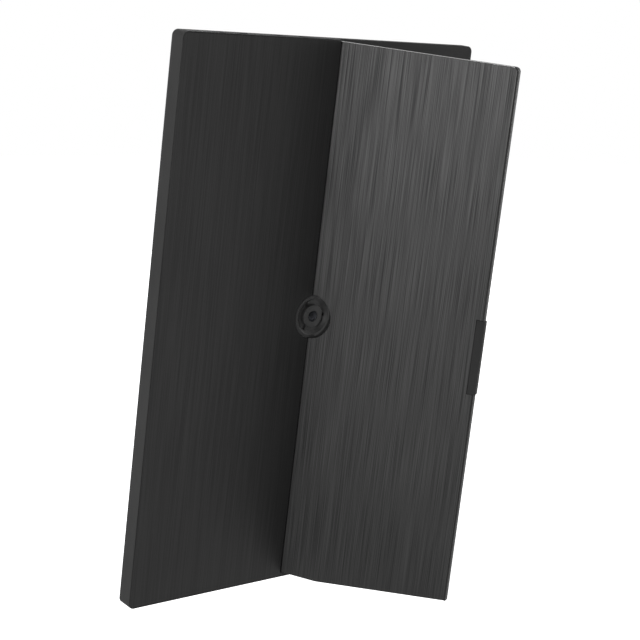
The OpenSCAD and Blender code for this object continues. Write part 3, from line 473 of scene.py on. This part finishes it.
shape = bmesh.new()
for x in PORT_XS:
    for row in (-1, 1):
        for i in range(CONTACTS):
            middle = Vector((x + (i - (CONTACTS - 1) / 2) * CONTACT_PITCH,
                             PORT_Y + row * CONTACT_LIFT, PORT_TOP - CONTACT_DEPTH))
            bmesh.ops.create_cube(shape, size=1, matrix=Matrix.Scale(MM, 4)
                                  @ Matrix.Translation(middle)
                                  @ Matrix.Diagonal((*CONTACT_SIZE, 1)))
bmesh.ops.bevel(shape, geom=shape.edges[:], offset=0.012 * MM, offset_type="OFFSET",
                segments=1, profile=0.5, affect="EDGES", material=-1)
bmesh.ops.transform(shape, matrix=FROM_UPRIGHT, verts=shape.verts)
finished(shape, "socket_contacts", "monitor_body",
         sheet_metal("gold_plated_contacts", "#b08d42", "#c9a75a", 0.25, 0.3))


# ---------------------------------------------------------------------------------------
# The switches behind the keys: small black moulded boxes with a domed spring inside.
coat("tact_switches", moulded("black_glass_filled_nylon", "#252527", "#2e2e30", 0.4, 0.5))


# ---------------------------------------------------------------------------------------
# The status light: a pipe of frosted clear polycarbonate, pushed in from behind. Its end
# is rounded over and stands level with the end wall.
frosted, nodes = bare("frosted_clear_polycarbonate")
place = add(nodes, "ShaderNodeTexCoord").outputs["Object"]
frost = add(nodes, "ShaderNodeTexNoise", {"Vector": place, "Scale": 1 / (0.25 * MM), "Detail": 2})
tone = add(nodes, "ShaderNodeMix", {0: frost.outputs[0], 6: to_linear("#c9cdd0"),
                                    7: to_linear("#eef1f3")}, data_type="RGBA")
shader = add(nodes, "ShaderNodeBsdfPrincipled", {
    "Base Color": tone.outputs[2], "Roughness": 0.3, "IOR": 1.58, "Transmission Weight": 0.35})
add(nodes, "ShaderNodeOutputMaterial", {"Surface": shader.outputs[0]})
shape = merged("status_light")
round_edges(shape, TO_UPRIGHT, lambda p: near(p.z, BODY_H), 0.25, 3)
finished(shape, "status_light_pipe", "monitor_body", frosted, "status_light")


# ---------------------------------------------------------------------------------------
# The screws inside: nickel-plated steel, cold headed with a rolled thread and a cross
# recess. They hold the boards, the socket and both pairs of hinge leaves.
screw_nickel = sheet_metal("nickel_plated_screw_steel", "#74777a", "#94979a", 0.3, 0.3)
for node, body in (("board_screws", "monitor_body"), ("leaf_screws", "monitor_body"),
                   ("socket_screws", "monitor_body"), ("flap_screws", "stand_flap")):
    finished(merged(node), "nickel_" + node, body, screw_nickel, node)


# ---------------------------------------------------------------------------------------
# The rear housing: charcoal PC-ABS, injection moulded with a fine matte grain. It has its
# full depth behind the fixed half, and steps down to the recess that the flap closes over.
# Its long edges are rounded, and the openings in its upper end have soft rims.
RECESS_Y = -4.75
OPENINGS_X, OPENINGS_Y = 18, (-8, -2.5)
shape = merged("rear_housing")
round_edges(shape, TO_UPRIGHT, lambda p: near(p.y, 0) and on_outline(p), 0.3, 4)
round_edges(shape, TO_UPRIGHT, lambda p: near(p.y, RECESS_Y) and on_outline(p), 0.4, 3)
round_edges(shape, TO_UPRIGHT, lambda p: near(p.y, SEAM_Y) and on_outline(p), 0.12, 1)
round_edges(shape, TO_UPRIGHT, lambda p: near(p.z, BODY_H) and p.x > OPENINGS_X
            and OPENINGS_Y[0] < p.y < OPENINGS_Y[1], 0.15, 2)
finished(shape, "rear_shell", "monitor_body",
         moulded("charcoal_pc_abs_fine_grain", "#2d2d2d", "#353535", specular=0.12,
                 roughness=0.7), "rear_housing")


# ---------------------------------------------------------------------------------------
# The screws under the flap: blackened steel with low heads and a cross recess, sunk level
# with the recess, where they hold the wide side of the front frame.
blackened = sheet_metal("blackened_steel", "#242527", "#333437", 0.42, 0.3)
shape = merged("bezel_screws")
round_edges(shape, TO_UPRIGHT, lambda p: near(p.y, RECESS_Y), 0.12, 2)
finished(shape, "blackened_frame_screws", "monitor_body", blackened,
         "bezel_screws")


# ---------------------------------------------------------------------------------------
# The hinges: stamped steel leaves with rolled barrels, one screwed inside the housing and
# one under the flap's skin, turning stiffly on a ground steel pin.
leaf_steel = sheet_metal("stamped_steel", "#7c7f82", "#989b9e", 0.36, 0.6)
pin_steel = sheet_metal("ground_steel", "#a9acaf", "#c9cccf", 0.2, 0.25)
for node, name, body, slot, made in (
        ("fixed_leaves", "fixed_hinge_leaves", "monitor_body", "leaf_steel", leaf_steel),
        ("flap_leaves", "flap_hinge_leaves", "stand_flap", "leaf_steel", leaf_steel),
        ("hinge_pins", "ground_hinge_pins", "stand_flap", "pin_steel", pin_steel)):
    finished(merged(node), name, body, made, node)


# ---------------------------------------------------------------------------------------
# The tripod socket's dish: black ABS, turned down in a smooth cone to a groove with three
# keyways round a level boss, and screwed up from inside.
finished(merged("socket_dish"), "tripod_socket_dish", "monitor_body",
         moulded("black_abs_satin", "#222222", "#2a2a2a", 0.6, 0.45, 0.25, 0.01), "socket_dish")


# ---------------------------------------------------------------------------------------
# The threaded insert: blackened steel, turned, with a quarter-inch thread of 1.27 mm pitch
# cut in it, pulled up against the dish by its flange.
SOCKET_Z = 181
BORE_R, TIP_R, PITCH = 3.15, 2.6, 1.27
FLANGE_R, FLANGE_T, NECK_R = 6.1, 0.95, 4.8
INSERT_LOW, INSERT_TOP = -7.05, -0.6
CREST, ROOT, RUN_OUT = 0.1, 0.5, 0.65
TURN_STEPS = 40
shape = bmesh.new()
centre = Vector((HINGE_X, 0, SOCKET_Z))
ring = [(BORE_R, INSERT_LOW + 0.3), (BORE_R + 0.3, INSERT_LOW), (FLANGE_R, INSERT_LOW),
        (FLANGE_R, INSERT_LOW + FLANGE_T), (NECK_R, INSERT_LOW + FLANGE_T),
        (NECK_R, INSERT_TOP - 0.2), (NECK_R - 0.2, INSERT_TOP), (BORE_R + 0.35, INSERT_TOP),
        (BORE_R, INSERT_TOP - 0.35)]
verts = [shape.verts.new(centre + Vector((r, y, 0))) for r, y in ring]
edges = [shape.edges.new((verts[i - 1], verts[i])) for i in range(len(verts))]
bmesh.ops.spin(shape, geom=verts + edges, cent=centre, axis=(0, 1, 0), dvec=(0, 0, 0),
               angle=math.tau, steps=64, use_merge=True, use_duplicate=False)
turns = (INSERT_TOP - INSERT_LOW - 2 * RUN_OUT) / PITCH
ridge = [(BORE_R + 0.08, -ROOT), (TIP_R, -CREST), (TIP_R, CREST), (BORE_R + 0.08, ROOT)]
verts = [shape.verts.new(centre + Vector((r, INSERT_LOW + RUN_OUT + y, 0))) for r, y in ridge]
edges = [shape.edges.new((verts[i - 1], verts[i])) for i in range(len(verts))]
bmesh.ops.spin(shape, geom=verts + edges, cent=centre, axis=(0, 1, 0),
               dvec=(0, PITCH / TURN_STEPS, 0), angle=math.tau * turns,
               steps=round(TURN_STEPS * turns), use_merge=False, use_duplicate=False)
bmesh.ops.holes_fill(shape, edges=[e for e in shape.edges if e.is_boundary], sides=4)
bmesh.ops.recalc_face_normals(shape, faces=shape.faces)
bmesh.ops.transform(shape, matrix=FROM_UPRIGHT @ Matrix.Scale(MM, 4), verts=shape.verts)
finished(shape, "threaded_socket_insert", "monitor_body", blackened,
         "tripod_insert", smooth=30)


# ---------------------------------------------------------------------------------------
# The two brushed skins: aluminium sheet, hairline-brushed along the body's long side with a
# belt and then anodised dark grey, so that long parallel streaks catch the light. The real
# hairs, near 0.05 mm, are drawn 0.4 to 5 mm wide, as wide as the bundles of them look.
def brushed(name, dark, light, placed, roughness=0.4, swing=0.08):
    """Dark anodised hairline-brushed aluminium, brushed along z of the placed shape."""
    made, nodes = bare(name)
    place = add(nodes, "ShaderNodeTexCoord").outputs["Object"]
    streaks = 0.0
    for width, length, weight in ((0.4, 60, 0.7), (1.0, 120, 0.2), (5, 240, 0.1)):
        along = add(nodes, "ShaderNodeMapping", {
            "Vector": place, "Rotation": placed.to_euler(),
            "Scale": (width * MM, width * MM, length * MM)}, vector_type="TEXTURE")
        hairs = add(nodes, "ShaderNodeTexNoise", {"Vector": along.outputs[0], "Scale": 1,
                                                  "Detail": 2, "Roughness": 0.5})
        streaks = add(nodes, "ShaderNodeMath", {0: hairs.outputs[0], 1: weight, 2: streaks},
                      operation="MULTIPLY_ADD").outputs[0]
    depth = add(nodes, "ShaderNodeMapRange", {"Value": streaks, "From Min": 0.4,
                                              "From Max": 0.6})
    tone = add(nodes, "ShaderNodeMix", {0: depth.outputs[0], 6: to_linear(dark),
                                        7: to_linear(light)}, data_type="RGBA")
    shine = add(nodes, "ShaderNodeMapRange", {
        "Value": streaks, "From Min": 0.4, "From Max": 0.6, "To Min": roughness + swing,
        "To Max": roughness - swing})
    bump = add(nodes, "ShaderNodeBump", {"Height": streaks, "Distance": 0.03 * MM,
                                         "Strength": 0.3})
    shader = add(nodes, "ShaderNodeBsdfPrincipled", {
        "Base Color": tone.outputs[2], "Metallic": 1.0, "Roughness": shine.outputs[0],
        "Normal": bump.outputs[0]})
    add(nodes, "ShaderNodeOutputMaterial", {"Surface": shader.outputs[0]})
    return made


shape = merged("back_panel")
round_edges(shape, TO_UPRIGHT, lambda p: near(p.y, 0), 0.15, 2)
# The narrow range from dark to light on this skin paints it in shade, beside the flap's wider
# painted sheen.
finished(shape, "brushed_fixed_skin", "monitor_body",
         brushed("dark_brushed_aluminium_fixed_shaded_copy", "#282828", "#2e2e2e", FROM_UPRIGHT,
                 swing=0.03),
         "back_panel")


# ---------------------------------------------------------------------------------------
# The feet on the long side: matte black rubber pads pressed into dips, with rounded rims.
# They carry the monitor when it stands on its long side.
shape = merged("edge_feet")
round_edges(shape, TO_UPRIGHT, lambda p: p.x < -HALF_W - 0.4, 0.25, 3)
finished(shape, "rubber_edge_feet", "monitor_body",
         moulded("matte_black_rubber", "#1c1d1e", "#232426", 0.5, 0.8, 0.15, 0.03), "edge_feet")


# ---------------------------------------------------------------------------------------
# The flap's frame: dark PC-ABS moulded in one with its ribs, its half-round hinge edge and
# the slanted foot that lies on the table. The flat inner face has soft edges.
FLAP_T = 4.4
KNUCKLE_X = -6
shape = merged("flap_frame")
round_edges(shape, TO_CLOSED, lambda p: near(p.y, -FLAP_T) and p.x < KNUCKLE_X, 0.2, 3)
round_edges(shape, TO_CLOSED, lambda p: near(p.y, 0) and near(p.x, -HALF_W), 0.4, 4)
finished(shape, "flap_inner_frame", "stand_flap",
         moulded("dark_pc_abs_matte", "#262626", "#2e2e2e", 0.8, 0.65, 0.15), "flap_frame")


# ---------------------------------------------------------------------------------------
# The flap's brushed skin, made like the fixed one and bonded to the frame. Its colours span a
# wider range than the fixed skin's: a painted sheen for the side light that its streaks catch. The
# faces of its upper end that face upward get a light grey: a painted highlight for the light from
# above.
PAINTED_HIGHLIGHT_FROM_Z, PAINTED_HIGHLIGHT_FACING = 358.5, 0.25
shape = merged("flap_skin")
round_edges(shape, TO_CLOSED, lambda p: near(p.y, 0) and p.x < HINGE_X - 0.1, 0.3, 3)
round_edges(shape, TO_CLOSED, lambda p: near(p.y, 0), 0.08, 1)
# The upper end's upward-facing faces take the second slot: a painted highlight for the light
# falling from above.
for face in shape.faces:
    if ((TO_CLOSED @ face.calc_center_median()).z > PAINTED_HIGHLIGHT_FROM_Z * MM
            and (TO_CLOSED.to_3x3() @ face.normal).z > PAINTED_HIGHLIGHT_FACING):
        face.material_index = 1
# The wide range from dark to light on this skin is a painted sheen for the side light its streaks
# catch.
piece = finished(shape, "brushed_flap_skin", "stand_flap",
                 brushed("dark_brushed_aluminium_flap_painted_sheen", "#252525", "#383838", FROM_CLOSED),
                 "flap_skin")
# The second slot is a light grey: painted highlight on the top end.
piece.data.materials.append(sheet_metal("aluminium_painted_top_highlight", "#c4c4c4", "#d8d8d8", 0.35))


# ---------------------------------------------------------------------------------------
# The rubber tab: a soft channel of dark rubber, moulded round the middle of the flap's
# free edge. It is a grip to open the flap by, and its edges are well rounded.
TAB_RISE = 0.25
shape = merged("edge_tab")
round_edges(shape, TO_CLOSED, lambda p: near(p.y, TAB_RISE) or near(p.y, -FLAP_T), 0.35, 3)
finished(shape, "soft_edge_tab", "stand_flap",
         moulded("soft_dark_rubber", "#262626", "#2e2e2e", 0.5, 0.8, 0.1, 0.03), "edge_tab")


# ---------------------------------------------------------------------------------------
# The two keys: black ABS caps with a satin face and rounded rims, held in by a flange and
# pushed out again by the switches behind them.
key_plastic = moulded("black_abs_satin_keys", "#2a2b2d", "#323335", 0.5, 0.4, 0.45, 0.01)
for node in ("menu_key", "power_key"):
    shape = merged(node)
    round_edges(shape, TO_UPRIGHT, lambda p: p.z > BODY_H + 0.4, 0.3, 3)
    finished(shape, node + "_cap", node, key_plastic, node)
